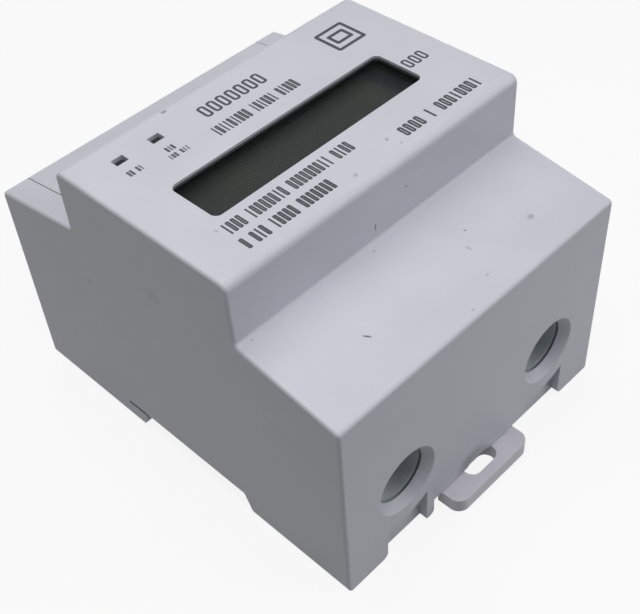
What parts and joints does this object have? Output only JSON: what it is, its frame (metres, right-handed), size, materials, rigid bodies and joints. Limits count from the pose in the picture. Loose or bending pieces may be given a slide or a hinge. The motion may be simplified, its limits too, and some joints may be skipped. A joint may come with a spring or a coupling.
{
  "type": "electronic kilowatt-hour meter",
  "caption": "Rail-mounted electronic energy meter with a stepped moulded housing, a display window, feed-through cable holes, a rear terminal cover and a sprung rail clip",
  "frame": {"origin": "middle of the rail channel along and across the rail, in the plane that the feet stand on", "axes": "X along the rail, Y across it from the front with the cable holes' recesses towards the terminal cover, Z away from the rail"},
  "size_m": [0.075, 0.0966, 0.0645],
  "materials": {
    "housing_plastic": "fine-textured pale grey moulded plastic",
    "clip_plastic": "light grey moulded plastic",
    "tube_plastic": "grey moulded plastic",
    "block_plastic": "black moulded plastic",
    "transformer_case": "blue moulded case",
    "window_plastic": "smoked clear plastic",
    "display_glass": "dark liquid-crystal glass",
    "backlight_plastic": "milky light guide",
    "lamp": "tinted clear resin",
    "board": "green circuit board",
    "brass": "turned brass",
    "screw_steel": "zinc-plated steel",
    "spring_steel": "spring wire",
    "capacitor_case": "yellow box capacitor",
    "can": "sleeved aluminium can",
    "varistor": "blue dipped coating",
    "core": "ferrite core and windings",
    "chip": "black moulded package",
    "crystal_can": "bright metal can"
  },
  "bodies": {
    "meter": {"housing": "housing_plastic", "base": "housing_plastic", "terminal_cover": "housing_plastic", "cable_tube_left": "tube_plastic", "cable_tube_right": "tube_plastic", "current_transformer_left": "transformer_case", "current_transformer_right": "transformer_case", "tap_plate_left": "brass", "tap_plate_right": "brass", "tap_screws": "screw_steel", "terminal_block": "block_plastic", "neutral_clamp": "brass", "neutral_screw": "screw_steel", "window_pane": "window_plastic", "pulse_light_pipe": "window_plastic", "comms_light_pipe": "window_plastic", "pulse_led": "lamp", "comms_led": "lamp", "lcd_panel": "display_glass", "lcd_frame": "block_plastic", "lcd_backlight": "backlight_plastic", "main_board": "board", "display_board": "board", "case_screws": "screw_steel", "board_screws": "screw_steel", "filter_capacitor": "capacitor_case", "bulk_capacitors": "can", "surge_varistor": "varistor", "supply_transformer": "core", "metering_chip": "chip", "controller_chip": "chip", "clock_crystal": "crystal_can", "pin_header": "block_plastic"},
    "clip": {"din_clip": "clip_plastic", "clip_spring": "spring_steel"}
  },
  "joints": [
    {"name": "din_clip_slide", "type": "slide", "parent": "meter", "child": "clip", "axis": [0, -1, 0], "range_m": [0, 0.004], "stiffness_N_per_m": 800, "springref_m": -0.003, "deforming": ["clip_spring"]}
  ]
}
